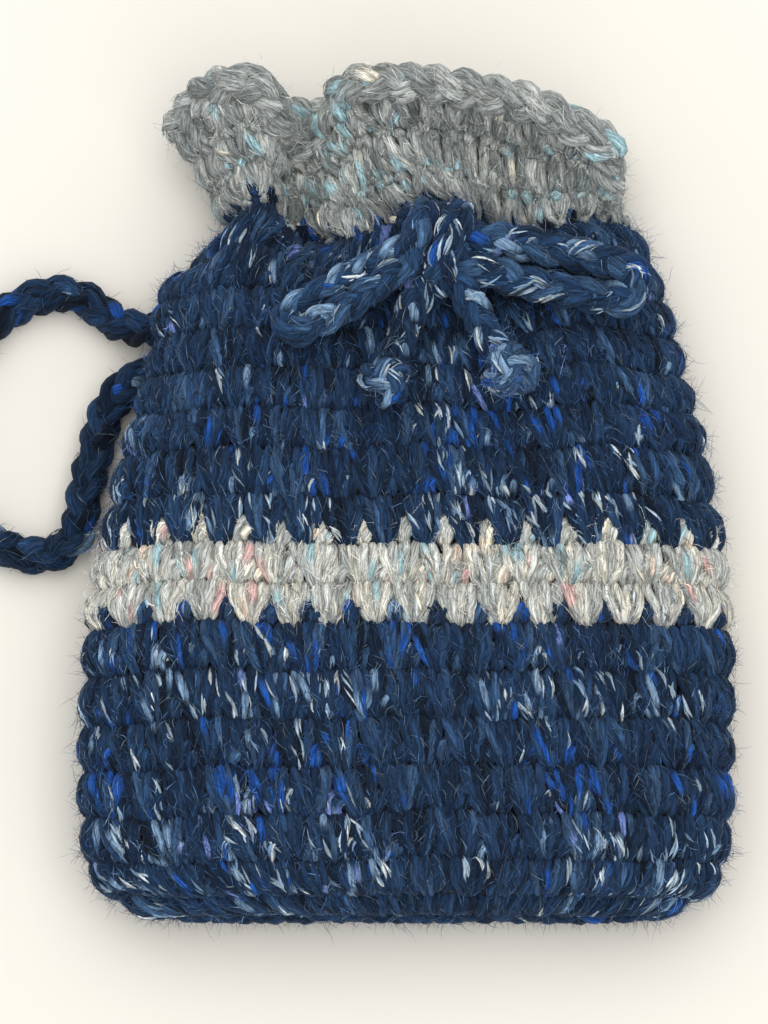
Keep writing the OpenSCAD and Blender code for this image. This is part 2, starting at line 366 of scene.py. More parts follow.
class Yarn:
    """A heathered yarn: plain plies, soft patches of other colours, and thin bright flecks."""

    def __init__(self, tones, shares, patches, chances, flecks, per_mm):
        self.tones, self.shares = np.array(tones), np.array(shares) / np.sum(shares)
        self.patches, self.chances = np.array(patches), np.array(chances)
        self.flecks, self.per_mm = np.array(flecks), per_mm

    def tone(self, random, count):
        return self.tones[random.choice(len(self.tones), count, p=self.shares)]

    def tints(self, random, travel, whole, plenty):
        """A colour for each point of each ply: partly that of its whole yarn, partly its own."""
        count = len(travel)
        length = travel[:, -1]
        base = (0.55 * whole + 0.45 * self.tone(random, count)) * random.uniform(0.85, 1.15, (count, 1))
        tint = np.repeat(base[:, None, :], travel.shape[1], axis=1)
        edges = np.cumsum(self.chances * np.broadcast_to(plenty, (count,))[:, None], axis=1)
        for _ in range(max(1, int(np.max(length) / 9))):
            kind = (random.random(count)[:, None] > edges).sum(axis=1)
            has = kind < len(self.patches)
            colour = self.patches[np.minimum(kind, len(self.patches) - 1)]
            middle = random.uniform(0.0, 1.0, count) * length
            half = random.uniform(1.2, 3.2, count)
            weight = ease((half[:, None] - np.abs(travel - middle[:, None])) / 1.6 + 0.5) * has[:, None]
            tint = tint * (1 - weight[..., None]) + colour[:, None, :] * weight[..., None]
        return tint


NAVY_TONES = (INK, NAVY, SLATE, DENIM)
NAVY_PATCHES = (MIST, ROYAL, PERIWINKLE)
NAVY_FLECKS = (MIST, PALE, PALE, FROST)
GREY_TONES = (ASH, DOVE, SILVER, CREAM)
GREY_PATCHES = (CREAM, AQUA, PINK, PEACH)
GREY_FLECKS = (CREAM, FROST, ASH)


def navy_yarn(pale, royal, periwinkle):
    return Yarn(NAVY_TONES, (0.22, 0.42, 0.30, 0.06), NAVY_PATCHES, (0.25 * pale, royal, periwinkle),
                NAVY_FLECKS, 0.17 * pale)


# The collar's yarn is given darker greys than the stripe's: painted shade, as the collar lies in shade
COLLAR_YARN = Yarn((PEWTER, ASH, DOVE, SILVER), (0.20, 0.36, 0.34, 0.10), GREY_PATCHES,
                   (0.05, 0.20, 0.0, 0.0), GREY_FLECKS, 0.03)
STRIPE_YARN = Yarn(GREY_TONES, (0.08, 0.40, 0.40, 0.12), GREY_PATCHES,
                   (0.06, 0.08, 0.08, 0.05), GREY_FLECKS, 0.05)
BOW_YARN = Yarn(NAVY_TONES, (0.24, 0.38, 0.28, 0.10), NAVY_PATCHES, (0.20, 0.04, 0.03), NAVY_FLECKS, 0.12)
KNOT_YARN = Yarn(NAVY_TONES, (0.02, 0.13, 0.35, 0.50), NAVY_PATCHES, (0.65, 0.05, 0.12), NAVY_FLECKS, 0.10)
CORD_YARN = Yarn(NAVY_TONES, (0.30, 0.46, 0.22, 0.02), NAVY_PATCHES, (0.02, 0.07, 0.0), NAVY_FLECKS, 0.004)


class Strands:
    """Many short or long strands of yarn, which become one closed mesh."""

    def __init__(self, seed):
        self.random = np.random.default_rng(seed)
        self.parts = []
        self.count = 0

    def add(self, paths, normals, radii, tints, sides=6, closed=False):
        """paths and normals (strand, point, 3), radii (strand, point), tints (strand, point, 3)."""
        k, r, _ = paths.shape
        _, side, over = axes_along(paths, normals, closed)
        travel = travelled(paths)
        phase = self.random.uniform(0, 2 * np.pi, (k, 1, 1))
        angle = (2 * np.pi * np.arange(sides) / sides)[None, None, :]
        lump = 1 + self.random.normal(0, 0.05, (k, r, sides))
        reach = radii[..., None] * lump
        ring = (side[:, :, None, :] * np.cos(angle)[..., None]
                + over[:, :, None, :] * np.sin(angle)[..., None])
        points = paths[:, :, None, :] + reach[..., None] * ring
        points[..., 2] = np.where(points[..., 2] < FLOOR_GAP,
                                  FLOOR_GAP + 0.02 * (points[..., 2] - FLOOR_GAP), points[..., 2])
        fibre = np.empty((k, r, sides, 3))
        swirl = angle + travel[..., None] / 4.0 + phase
        fibre[..., 0] = np.cos(swirl) * radii[..., None]
        fibre[..., 1] = np.sin(swirl) * radii[..., None]
        fibre[..., 2] = travel[..., None] + self.random.uniform(0, 900, (k, 1, 1))
        tint = np.broadcast_to(tints[:, :, None, :], (k, r, sides, 3))
        base = self.count + (np.arange(k) * r * sides)[:, None, None]
        rings = np.arange(r if closed else r - 1)
        ring_at = (rings * sides)[None, :, None]
        next_at = (((rings + 1) % r) * sides)[None, :, None]
        s = np.arange(sides)[None, None, :]
        t = (s + 1) % sides
        quads = np.stack([base + ring_at + s, base + ring_at + t, base + next_at + t, base + next_at + s],
                         axis=-1).reshape(-1, 4)
        faces = [quads]
        if not closed:
            starts = (base[:, 0] + np.arange(sides)[::-1][None, :])
            ends = (base[:, 0] + (r - 1) * sides + np.arange(sides)[None, :])
            faces.append(np.concatenate([starts, ends]))
        self.parts.append((points.reshape(-1, 3), fibre.reshape(-1, 3), tint.reshape(-1, 3), faces))
        self.count += k * r * sides

    def spin(self, paths, normals, radii, yarn, plies, pitch, plenty=1.0, sides=6, closed=False):
        """Yarn along each path, spun from a few plies; returns what the fuzz grows on."""
        k = len(paths)
        tangent, side, over = axes_along(paths, normals, closed)
        travel = travelled(paths)
        start = self.random.uniform(0, 2 * np.pi, (k, 1))
        whole = yarn.tone(self.random, k)
        if closed:
            length = travel[:, -1:] + np.linalg.norm(paths[:, :1] - paths[:, -1:], axis=2)
            pitch = length / np.round(length / pitch)
        twist = 2 * np.pi * travel / pitch
        made = []
        offset, fat = (0.36, 0.76) if plies == 2 else (0.5, 0.62)
        for ply in range(plies):
            angle = (start + 2 * np.pi * ply / plies - twist)[..., None]
            path = paths + offset * radii[..., None] * (side * np.cos(angle) + over * np.sin(angle))
            tints = yarn.tints(self.random, travel, whole, plenty)
            self.add(path, normals, fat * radii, tints, sides, closed)
            made.append((path, normals, tangent, fat * radii, tints))
        frames = (paths, normals, side, over, radii, travel, np.mean(pitch))
        chance = travel[:, -1] * np.broadcast_to(plenty, (k,))
        self.lenses(frames, chance, yarn.per_mm, yarn.flecks, (1.3, 2.8), (0.20, 0.42), 0.4, 1.0, 3)
        # lit: the yarn's tones made half as bright again, a painted highlight on thin wisps of fibre
        lit = yarn.tones * 1.5 + 0.01
        self.lenses(frames, travel[:, -1], 0.9 * DETAIL, np.concatenate([lit, lit, yarn.flecks[:2] * 0.5]),
                    (1.0, 2.6), (0.045, 0.10), 1.2, 1.12, 1, 5, 3)
        return made

    def lenses(self, frames, chance, per_mm, colours, reach, thick, stray, lift, most, points=7, sides=4):
        """Thin pointed wisps of fibre that lie on the yarn along its twist, up to most at a place."""
        random = self.random
        paths, normals, side, over, radii, travel, pitch = frames
        k, r, _ = paths.shape
        length = travel[:, -1]
        groups = random.poisson(per_mm * chance.sum())
        if not groups:
            return
        which = random.choice(k, groups, p=chance / chance.sum())
        copies = random.integers(1, most + 1, groups)
        middle = np.repeat(random.uniform(0.1, 0.9, groups), copies)
        facing = np.repeat(random.uniform(0.08, 0.92, groups) * np.pi, copies)
        which = np.repeat(which, copies)
        count = len(which)
        facing = facing + random.normal(0, 0.35, count)
        middle = middle * length[which] + random.normal(0, 0.5, count)
        half = random.uniform(*reach, count)
        u = np.linspace(-1, 1, points)[None, :]
        place = (middle[:, None] + half[:, None] * u) / length[which][:, None] * (r - 1)
        place = np.clip(place, 0, r - 1.001)
        low = np.floor(place).astype(int)
        part = (place - low)[..., None]

        def at(values):
            return values[which[:, None], low] * (1 - part) + values[which[:, None], low + 1] * part
        slant = random.normal(0, stray, (count, 1))
        curve = 0.4 * random.normal(0, stray, (count, 1))
        wander = slant * u + curve * u ** 2
        angle = (facing[:, None] - 2 * np.pi * half[:, None] * u / pitch + wander)[..., None]
        out = unit(at(side) * np.cos(angle) + at(over) * np.sin(angle))
        path = at(paths) + out * at(radii[..., None]) * lift
        fat = random.uniform(*thick, (count, 1)) * (0.08 + 0.92 * np.cos(0.5 * np.pi * u) ** 1.2)
        colour = colours[random.choice(len(colours), count)] * random.uniform(0.7, 1.1, (count, 1))
        self.add(path, at(normals), fat, np.repeat(colour[:, None, :], points, axis=1), sides)

    def mesh(self, name, material, slot):
        points = np.concatenate([p[0] for p in self.parts])
        fibre = np.concatenate([p[1] for p in self.parts])
        tint = np.concatenate([p[2] for p in self.parts])
        faces = [array for part in self.parts for array in part[3]]
        return build_mesh(name, points, faces, material, fibre, tint)


def build_mesh(name, points, face_arrays, material, fibre, tint):
    """A mesh object from arrays of faces, each array with one number of corners."""
    mesh = bpy.data.meshes.new(name)
    corners = np.concatenate([f.reshape(-1) for f in face_arrays])
    sizes = np.concatenate([np.full(len(f), f.shape[1]) for f in face_arrays])
    mesh.vertices.add(len(points))
    mesh.vertices.foreach_set("co", (points * MM).astype(np.float32).reshape(-1))
    mesh.loops.add(len(corners))
    mesh.loops.foreach_set("vertex_index", corners.astype(np.int32))
    mesh.polygons.add(len(sizes))
    starts = np.concatenate([[0], np.cumsum(sizes)[:-1]])
    mesh.polygons.foreach_set("loop_start", starts.astype(np.int32))
    mesh.polygons.foreach_set("use_smooth", np.ones(len(sizes), bool))
    mesh.update(calc_edges=True)
    mesh.validate()
    attribute = mesh.attributes.new("fibre", "FLOAT_VECTOR", "POINT")
    attribute.data.foreach_set("vector", fibre.astype(np.float32).reshape(-1))
    colour = np.concatenate([tint, np.ones((len(tint), 1))], axis=1)
    attribute = mesh.attributes.new("tint", "FLOAT_COLOR", "POINT")
    attribute.data.foreach_set("color", colour.astype(np.float32).reshape(-1))
    mesh.materials.append(material)
    piece = bpy.data.objects.new(name, mesh)
    bpy.context.collection.objects.link(piece)
    return piece


def yarn_material(name, brightness, sheen):
    """Heathered wool: colour comes from each strand, streaked and roughened along its fibres."""
    material = bpy.data.materials.new(name)
    material.use_nodes = True
    tree = material.node_tree
    shader = tree.nodes["Principled BSDF"]
    shader.inputs["Roughness"].default_value = 0.88
    shader.inputs["Specular IOR Level"].default_value = 0.12
    shader.inputs["Sheen Weight"].default_value = sheen
    shader.inputs["Sheen Roughness"].default_value = 0.45

    def node(kind, **values):
        made = tree.nodes.new(kind)
        for key, value in values.items():
            setattr(made, key, value)
        return made

    fibre = node("ShaderNodeAttribute", attribute_name="fibre")
    tint = node("ShaderNodeAttribute", attribute_name="tint")

    def streaks(scale, detail):
        mapping = node("ShaderNodeMapping")
        mapping.inputs["Scale"].default_value = scale
        noise = node("ShaderNodeTexNoise")
        noise.inputs["Scale"].default_value = 1.0
        noise.inputs["Detail"].default_value = detail
        noise.inputs["Roughness"].default_value = 0.62
        tree.links.new(fibre.outputs["Vector"], mapping.inputs["Vector"])
        tree.links.new(mapping.outputs["Vector"], noise.inputs["Vector"])
        return noise

    def ranged(source, low, high):
        made = node("ShaderNodeMapRange")
        made.inputs["From Min"].default_value = 0.36
        made.inputs["From Max"].default_value = 0.64
        made.inputs["To Min"].default_value = low
        made.inputs["To Max"].default_value = high
        tree.links.new(source, made.inputs["Value"])
        return made

    fine = streaks((3.4, 3.4, 0.30), 4.0)
    broad = streaks((1.3, 1.3, 0.10), 1.0)
    fine_gain = ranged(fine.outputs["Fac"], 0.38 * brightness, 1.62 * brightness)
    broad_gain = ranged(broad.outputs["Fac"], 0.75, 1.25)
    gain = node("ShaderNodeMath", operation="MULTIPLY")
    tree.links.new(fine_gain.outputs["Result"], gain.inputs[0])
    tree.links.new(broad_gain.outputs["Result"], gain.inputs[1])
    scaled = node("ShaderNodeVectorMath", operation="SCALE")
    tree.links.new(tint.outputs["Color"], scaled.inputs[0])
    tree.links.new(gain.outputs["Value"], scaled.inputs["Scale"])
    tree.links.new(scaled.outputs["Vector"], shader.inputs["Base Color"])
    bump = node("ShaderNodeBump")
    bump.inputs["Strength"].default_value = 0.8
    bump.inputs["Distance"].default_value = 0.45 * MM
    tree.links.new(fine.outputs["Fac"], bump.inputs["Height"])
    tree.links.new(bump.outputs["Normal"], shader.inputs["Normal"])
    return material


NAVY_WOOL = yarn_material("navy_wool", 1.12, 0.06)
GREY_WOOL = yarn_material("grey_wool", 1.03, 0.12)
BOW_WOOL = yarn_material("bow_wool", 1.15, 0.06)
CORD_WOOL = yarn_material("cord_wool", 1.0, 0.06)


# By round: amount of pale flecks, chance of a royal blue patch, chance of a periwinkle patch
NAVY_ROUNDS = {
    0: (0.18, 0.04, 0.03), 1: (0.36, 0.04, 0.06), 2: (0.42, 0.04, 0.03), 3: (0.05, 0.34, 0.01),
    4: (0.09, 0.08, 0.01), 5: (0.46, 0.05, 0.01), 6: (0.05, 0.20, 0.01), 9: (0.50, 0.04, 0.02),
    10: (0.13, 0.10, 0.01), 11: (0.08, 0.22, 0.01), 12: (0.12, 0.06, 0.01), 13: (0.08, 0.06, 0.02),
    14: (0.10, 0.06, 0.02), 15: (0.12, 0.08, 0.04), 16: (0.14, 0.12, 0.08),
}
cluster = waves(21, 18, 13)


def is_grey(row):
    return row >= COLLAR or STRIPE <= row < UPPER


def yarn_of(row):
    """The yarn that a round is worked in."""
    if row >= COLLAR:
        return COLLAR_YARN
    if is_grey(row):
        return STRIPE_YARN
    return navy_yarn(*NAVY_ROUNDS[max(row, 0)])


def spun(row):
    """The length of a full twist and the number of plies: the grey yarn is softer."""
    return (GREY_TWIST, 2) if is_grey(row) else (NAVY_TWIST, 3)


def fan_shape(random, crowded):
    """The legs of one round's stitches, which rise from a pinched foot and spread.

    Returns the round, the turn, the height out and the radius at each point of each leg.
    Crowded stitches, those of the collar, have fewer and fatter legs."""
    tops, feet, low = (-0.34, -0.08, 0.18, 0.43), (-0.08, -0.03, 0.03, 0.07), (0, 0, 0, 0)
    if crowded:
        tops, feet, low = (-0.40, 0.03, 0.42), (-0.10, -0.01, 0.08), (0, 0.7, 0)
    legs = len(tops)
    points = 11
    stitch = np.repeat(np.arange(STITCHES), legs)
    leg = np.tile(np.arange(legs), STITCHES)
    t = np.linspace(0, 1, points)[None, :]
    lean = random.normal(-0.03 if crowded else -0.08, 0.03, STITCHES)[stitch][:, None]
    tall = random.normal(1.1, 0.03, STITCHES)[stitch][:, None]
    spread = np.array(tops)[leg][:, None] + random.normal(0, 0.025, (len(leg), 1))
    foot = np.array(feet)[leg][:, None] + lean
    bow = 0.05 * (2 * leg - legs + 1)[:, None] / (legs - 1)
    across = foot + (spread - foot) * t ** 0.8 + bow * np.sin(np.pi * t)
    rise = -0.10 + (tall + 0.02) * t
    out = -4.5 + 3.5 * np.sin(np.pi * np.clip(0.05 + 0.91 * t, 0, 1)) ** (0.85 if crowded else 0.62)
    out = out - np.array(low)[leg][:, None] + random.normal(0, 0.12, (len(leg), 1))
    radius = 0.80 + 0.50 * ease(t / 0.5) - 0.20 * ease((t - 0.8) / 0.2)
    turn = (stitch[:, None] + 0.5 + across) / STITCHES
    return rise, turn, out, np.broadcast_to(radius * (1.12 if crowded else 1.0), out.shape)


def bump_shape(random):
    """The front loops of the round below: slanting yarn in a dome between the stitches' feet."""
    legs = 3
    points = 10
    stitch = np.repeat(np.arange(STITCHES), legs)
    leg = np.tile(np.arange(legs), STITCHES)
    t = np.linspace(0, 1, points)[None, :]
    arch = np.sin(np.pi * t)
    tall = random.normal(1, 0.05, STITCHES)[stitch][:, None]
    left, right = np.array([-0.23, -0.09, 0.08])[leg][:, None], np.array([0.0, 0.13, 0.22])[leg][:, None]
    low, high = np.array([0.06, 0.0, 0.0])[leg][:, None], np.array([0.50, 0.46, 0.30])[leg][:, None]
    across = 0.04 * arch - left - (right - left) * t
    rise = (low + (high - low) * t + 0.09 * arch) * tall
    out = -3.7 + 2.3 * arch ** 0.6 + random.normal(0, 0.1, (len(leg), 1))
    radius = 0.85 + 0.42 * arch
    turn = (stitch[:, None] + 1.0 + across) / STITCHES
    return rise, turn, out, radius


def lay(surface, strands, rounds, turns, outs, radii, yarn, pitch, plies, inside=False):
    """Spins yarn whose path is given on the surface; the crowded neck has thinner yarn."""
    paths, normals, width = surface.place(rounds, turns, outs)
    squeeze = np.clip(width / FREE_STITCH, 0.45, 1.1) ** 0.48
    wander = strands.random.normal(0, 0.22, paths.shape)
    wander[:, 1:-1] = (wander[:, :-2] + wander[:, 1:-1] + wander[:, 2:]) / 3
    paths = paths + wander
    normals = -normals if inside else normals
    plenty = np.clip(1 + 0.8 * cluster(rounds[:, 5], turns[:, 5]), 0.1, 2.4)
    if inside:
        tints = yarn.tints(strands.random, travelled(paths), yarn.tone(strands.random, len(paths)), plenty)
        strands.add(paths, normals, radii * squeeze, tints)
        return []
    return strands.spin(paths, normals, radii * squeeze, yarn, plies, pitch, plenty)


def make_round(surface, row, name, material, slot, inside):
    """One round: its stitches, and between their feet the loops of the round below."""
    strands = Strands(100 + row)
    random = strands.random
    shift = ROW_SHIFT * row / STITCHES
    rise, turn, out, radius = fan_shape(random, row >= COLLAR)
    made = lay(surface, strands, row + rise, turn + shift, out, radius, yarn_of(row), *spun(row))
    rise, turn, out, radius = bump_shape(random)
    made += lay(surface, strands, row + rise, turn + shift, out, radius, yarn_of(row - 1), *spun(row - 1))
    if inside:
        rise, turn, out, radius = fan_shape(random, row >= COLLAR)
        lay(surface, strands, row + rise, turn + shift, -WALL - out, radius, yarn_of(row), *spun(row), True)
    return strands.mesh(name, material, slot), made


def make_backing(surface, start, end, outer, inner, name, material, colour, capped):
    """The dense inside of the crochet, a closed shell between two depths below the surface, in one flat
    colour that shows as painted shade in the gaps between the stitches.
    """
    steps = int(round((end - start) * 6))
    columns = STITCHES * 6
    at = np.linspace(start, end, steps + 1)
    turn = np.arange(columns) / columns
    r, c = np.meshgrid(at, turn, indexing="ij")
    ripple = 0.35 * np.cos(2 * np.pi * r) * np.cos(2 * np.pi * c * STITCHES)
    layers = []
    for depth in (outer, inner):
        points, _, _ = surface.place(r, c, ripple - depth)
        points[..., 2] = np.maximum(points[..., 2], FLOOR_GAP)
        layers.append(points)
    rows = steps + 1
    grid = (np.arange(rows)[:, None] * columns + np.arange(columns)[None, :])
    after = np.roll(grid, -1, axis=1)
    total = rows * columns
    faces = [
        np.stack([grid[:-1], grid[1:], after[1:], after[:-1]], axis=-1).reshape(-1, 4),
        np.stack([grid[:-1], after[:-1], after[1:], grid[1:]], axis=-1).reshape(-1, 4) + total,
    ]
    top, top_after = grid[-1], after[-1]
    faces.append(np.stack([top, top + total, top_after + total, top_after], axis=-1))
    first, first_after = grid[0], after[0]
    if capped:
        for offset, flip in ((0, False), (total, True)):
            k = np.arange(1, columns // 2)
            cap = np.stack([first[k], first[k - 1], first[(columns - k + 1) % columns],
                            first[columns - k]], axis=-1)
            cap = cap[:, ::-1] if flip else cap
            faces.append(cap[1:] + offset)
            ends = np.array([[first[1], first[0], first[-1]],
                             [first[columns // 2 + 1], first[columns // 2], first[columns // 2 - 1]]])
            faces.append((ends[:, ::-1] if flip else ends) + offset)
    else:
        faces.append(np.stack([first, first_after, first_after + total, first + total], axis=-1))
    points = np.concatenate([layer.reshape(-1, 3) for layer in layers])
    fibre = points * 0.6
    tint = np.broadcast_to(np.array(colour), points.shape)
    return build_mesh(name, points, faces, material, fibre, tint)


# ---------------- plaited cords

UP, DOWN_THE_BAG = (0, 0, 1), (0, -1, 0)


def plait(strands, route, ups, width, thick, yarn, closed=False, link=5.4):
    """Three strands of yarn plaited along a route: on each side a strand shows in every link.

    ups is the way that the plait's broad side faces, once or at each point of the route."""
    radius = 0.27 * width
    length = along(route, closed)[-1]
    turns = max(1, round(length / (3 * link)))
    line = resample(route, int(length / 0.9) + 1, closed)
    guide = ups if np.ndim(ups) == 1 else resample(ups, len(line), closed)
    _, side, over = axes_along(line, guide, closed)
    t = np.linspace(0, 2 * np.pi * turns, len(line), endpoint=not closed)
    made = []
    for k in range(3):
        phase = t + 2 * np.pi * k / 3
        sway = (width / 2 - radius) * np.sin(phase)
        lift = (thick / 2 - 0.8 * radius) * np.sin(2 * phase + 0.3)
        path = line + side * sway[:, None] + over * lift[:, None]
        radii = np.full(len(path), radius)
        if not closed:
            radii[[0, -1]] *= 0.7
        made += strands.spin(path[None], over[None], radii[None], yarn, 3, CORD_TWIST,
                             sides=7, closed=closed)
    return made


# ---------------- fuzz

def grow_fuzz(name, made, per_mm, material, seed, reach=(1.2, 4.8), thick=0.036, lighten=1.7):
    """Loose fibres that stand off the yarn, each a thin closed spindle."""
    random = np.random.default_rng(seed)
    roots, heads, outs, tints = [], [], [], []
    for paths, normals, tangent, radii, tint in made:
        k, r, _ = paths.shape
        length = np.linalg.norm(np.diff(paths, axis=1), axis=2).sum()
        count = int(length * per_mm * DETAIL)
        if not count:
            continue
        strand = random.integers(0, k, count)
        point = random.integers(1, r - 1, count)
        normal = normals[strand, point]
        along_it = tangent[strand, point] * random.choice([-1, 1], count)[:, None]
        side = np.cross(along_it, normal)
        lean = random.normal(0, 0.8, count)[:, None]
        out = unit(normal * np.cos(lean) + side * np.sin(lean))
        roots.append(paths[strand, point] + out * radii[strand, point][:, None] * 0.85)
        heads.append(along_it)
        outs.append(out)
        tints.append(tint[strand, point])
    roots, heads, outs, tints = (np.concatenate(x) for x in (roots, heads, outs, tints))
    count = len(roots)
    length = random.uniform(*reach, count) * random.uniform(0.5, 1, count)
    steps = 4
    s = np.linspace(0, 1, steps + 1)[None, :, None]
    stray = unit(random.normal(0, 1, (count, 3)))
    curl = unit(random.normal(0, 1, (count, 3)))
    first = unit(heads * 0.9 + outs * random.uniform(0.15, 0.9, (count, 1)) + stray * 0.5)
    bend = (curl * 0.8 - outs * 0.3)[:, None, :]
    paths = roots[:, None, :] + length[:, None, None] * (first[:, None, :] * s + bend * s ** 2)
    wave = 0.06 * length[:, None, None] * np.sin(9 * s + random.uniform(0, 6, (count, 1, 1)))
    paths = paths + wave * unit(np.cross(first, curl))[:, None, :] * s
    paths[..., 2] = np.maximum(paths[..., 2], FLOOR_GAP + 0.1)
    _, side, over = axes_along(paths, curl[:, None, :])
    sides = 3
    taper = np.sin(np.pi * (0.12 + 0.8 * s[..., 0])) ** 0.5
    radius = thick * random.uniform(0.6, 1.2, (count, 1)) * taper
    angle = 2 * np.pi * np.arange(sides) / sides
    inner = slice(1, steps)
    ring = (side[:, inner, None] * np.cos(angle)[:, None] + over[:, inner, None] * np.sin(angle)[:, None])
    body = paths[:, inner, None] + ring * radius[:, inner, None, None]
    rings = steps - 1
    per = rings * sides + 2
    points = np.concatenate([body.reshape(count, -1, 3), paths[:, :1], paths[:, -1:]], axis=1)
    i = np.arange(sides)
    j = (i + 1) % sides
    ring_at = np.arange(rings - 1)[:, None] * sides
    a, b = ring_at + i, ring_at + j
    quads = np.stack([a, b, b + sides, a + sides], axis=-1).reshape(-1, 4)
    last = (rings - 1) * sides
    tips = np.concatenate([
        np.stack([np.full(sides, per - 2), j, i], axis=-1),
        np.stack([np.full(sides, per - 1), last + i, last + j], axis=-1),
    ])
    offset = (np.arange(count) * per)[:, None, None]
    faces = [(quads[None] + offset).reshape(-1, 4), (tips[None] + offset).reshape(-1, 3)]
    # The loose fibres are coloured lighter than the yarn they grow from: painted highlight on the fuzz
    tint = np.clip(tints * lighten + 0.012, 0, 1)
    tint = np.repeat(tint, per, axis=0)
    points = points.reshape(-1, 3)
    return build_mesh(name, points, faces, material, points * 0.3, tint)


# ---------------- the bow

def bow_point(direction, forward, sideways, up):
    """A point beside the knot: forward and sideways are counted from the knot's middle."""
    turn = math.radians(direction)
    x = KNOT[0] + forward * math.cos(turn) - sideways * math.sin(turn)
    y = KNOT[1] + forward * math.sin(turn) + sideways * math.cos(turn)
    return (x, y, FRONT + up)


def direction_to(node):
    low, high = box_mm(node)
    middle = (low + high) / 2 - KNOT
    return math.degrees(math.atan2(middle[1], middle[0])), math.hypot(middle[0], middle[1])


def make_loop(name, node, body, direction, reach, half_gap, width, thick, stacked, seed):
    """A loop of the bow: out from the knot, round its tip and back beside itself."""
    tip = reach - half_gap - width / 2
    outline = [
        (2, 0.6, 6.0), (8, 0.75, 5.6), (16, 1.0, 4.6), (0.5 * reach, 1.05, 4.2), (tip - 3, 1.0, 3.7),
        (tip + 0.55 * half_gap, 0.82, 3.6), (tip + 0.95 * half_gap, 0.0, 3.6),
        (tip + 0.55 * half_gap, -0.82, 3.6), (tip - 3, -1.0, 3.7), (0.5 * reach, -1.05, 4.0),
        (16, -1.0, 4.3), (8, -0.75, 5.2), (2, -0.6, 5.6),
    ]
    points = [bow_point(direction, f, s * half_gap, u + 0.5 + stacked * s) for f, s, u in outline]
    route = catmull(points)
    strands = Strands(seed)
    made = plait(strands, route, UP, width, thick, BOW_YARN)
    piece = strands.mesh(name, BOW_WOOL, "bow_yarn")
    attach(piece, body)
    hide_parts(node)
    fuzz = grow_fuzz(name + "_fuzz", made, BOW_FUZZ, BOW_WOOL, seed + 1)
    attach(fuzz, body)


def make_tail(name, node, knot_node, body, yarn, seed):
    """A tail of the bow and the knot in its end."""
    direction, reach = direction_to(knot_node)
    points = [bow_point(direction, f, s, u) for f, s, u in (
        (1, 0.3, 5.5), (6, 0.5, 5.6), (0.5 * reach, 0.6, 4.8), (reach - 5, 0, 4.2), (reach - 1, 0, 4.4))]
    route = catmull(points)
    strands = Strands(seed)
    made = plait(strands, route, UP, 6.4, 5.0, BOW_YARN)
    piece = strands.mesh(name, BOW_WOOL, "bow_yarn")
    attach(piece, body)
    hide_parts(node)
    fuzz = grow_fuzz(name + "_fuzz", made, BOW_FUZZ, BOW_WOOL, seed + 1)
    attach(fuzz, body)
    low, high = box_mm(knot_node)
    centre = np.array(bow_point(direction, reach, 0, 0))
    centre[2] = (low[2] + high[2]) / 2
    size = (high[2] - low[2]) / 2
    t = np.linspace(0, 2 * np.pi, 90, endpoint=False)
    tube = 0.42 * size
    ring = size - tube
    spin = math.radians(direction) + 0.6
    shape = np.stack([
        ring * (0.62 + 0.38 * np.cos(3 * t)) * np.cos(2 * t + spin),
        ring * (0.62 + 0.38 * np.cos(3 * t)) * np.sin(2 * t + spin),
        0.62 * ring * np.sin(3 * t),
    ], axis=1) + centre
    strands = Strands(seed + 2)
    ups = unit(shape - centre)
    made = plait(strands, shape, ups, 2 * tube, 1.8 * tube, yarn, closed=True, link=4.6)
    knot = strands.mesh(knot_node + "_yarn", BOW_WOOL, "bow_yarn")
    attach(knot, body)
    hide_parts(knot_node)
    fuzz = grow_fuzz(knot_node + "_fuzz", made, KNOT_FUZZ, BOW_WOOL, seed + 3)
    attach(fuzz, body)


def make_knot():
    """The bow's knot: a band of cord over the crossing of the two loops, and its two leads."""
    strands = Strands(71)
    made = []
    band_turn = math.radians(-12)
    for shift, reach, rise, width in ((3.6, 7.2, 9.6, 6.6), (-2.6, 6.4, 8.6, 6.4)):
        angles = np.linspace(-0.25, np.pi + 0.25, 40)
        lean = 0.9 * np.cos(angles)
        x = KNOT[0] + shift * math.cos(band_turn) + reach * np.cos(angles) * math.sin(-band_turn) + lean
        y = KNOT[1] + reach * np.cos(angles) * math.cos(band_turn) + shift * math.sin(band_turn)
        height = np.sin(angles)
        z = FRONT + 0.6 + np.where(height > 0, rise * np.maximum(height, 0) ** 0.8, 8 * height)
        route = np.stack([x, y, z], axis=1)
        centre = np.array([KNOT[0] + shift, KNOT[1], FRONT + 1.0])
        ups = unit(route - centre)
        made += plait(strands, route, ups, width, 4.6, BOW_YARN)
    knot = strands.mesh("bow_knot_yarn", BOW_WOOL, "bow_yarn")
    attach(knot, "bow")
    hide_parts("bow_knot")
    fuzz = grow_fuzz("bow_knot_fuzz", made, BOW_FUZZ, BOW_WOOL, 72)
    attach(fuzz, "bow")
    low, high = box_mm("bow_leads")
    strands = Strands(73)
    reach = (high[0] - low[0]) / 2 - 2.3
    for side in (-1, 1):
        x = (low[0] + high[0]) / 2 + side * reach
        y = (low[1] + high[1]) / 2
        route = np.array([(x, y, z) for z in np.linspace(low[2], FRONT + 5, 14)])
        plait(strands, route, DOWN_THE_BAG, 5.0, 4.2, BOW_YARN)
    leads = strands.mesh("bow_leads_yarn", BOW_WOOL, "bow_yarn")
    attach(leads, "bow")
    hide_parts("bow_leads")


